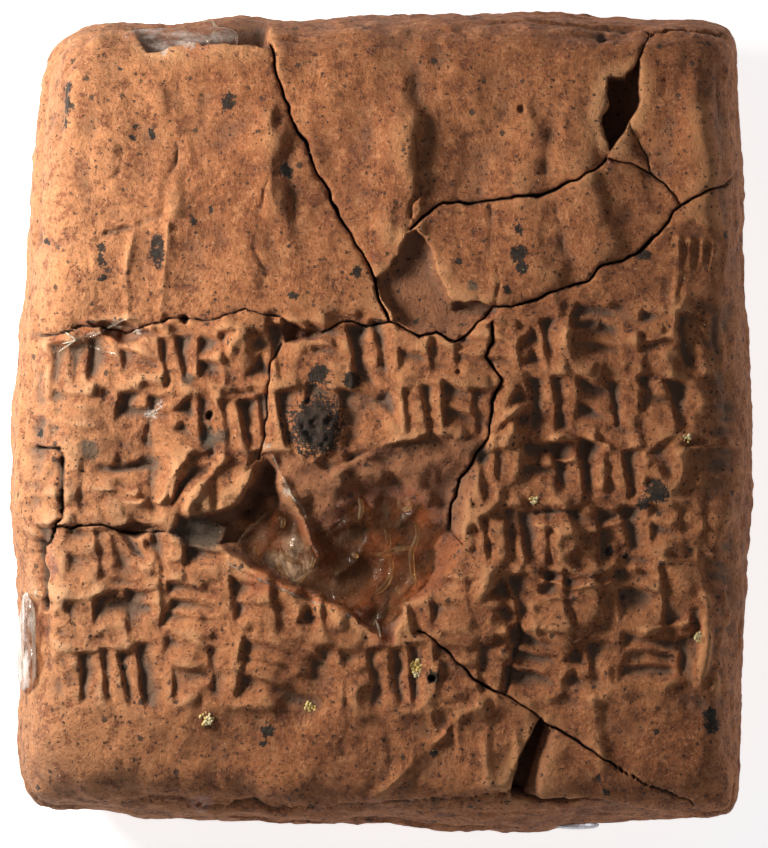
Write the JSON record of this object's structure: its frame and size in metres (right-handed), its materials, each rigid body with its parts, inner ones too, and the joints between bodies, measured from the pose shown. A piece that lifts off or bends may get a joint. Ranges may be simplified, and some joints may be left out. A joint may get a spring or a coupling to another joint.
{
  "type": "inscribed clay tablet",
  "caption": "Small square clay tablet with rows of wedge strokes, worn seal relief, cracks and a mended hollow, lying on its reverse",
  "frame": {"origin": "centre of the underside of the tablet's box, on the flat resting spot of the reverse", "axes": "X across the written face to the reader's right, Y up the face, Z out of the written face"},
  "size_m": [0.0474, 0.0522, 0.0241],
  "materials": {
    "fired_clay": "matt reddish-brown clay with dark specks, dirt in the recesses and worn ridges",
    "clear_adhesive": "cured clear adhesive, glossy and wrinkled"
  },
  "bodies": {
    "root": {"tablet": "fired_clay", "glue_pool": "clear_adhesive", "glue_top_chip": "clear_adhesive", "glue_left_edge": "clear_adhesive", "glue_bottom_edge": "clear_adhesive"}
  },
  "joints": []
}
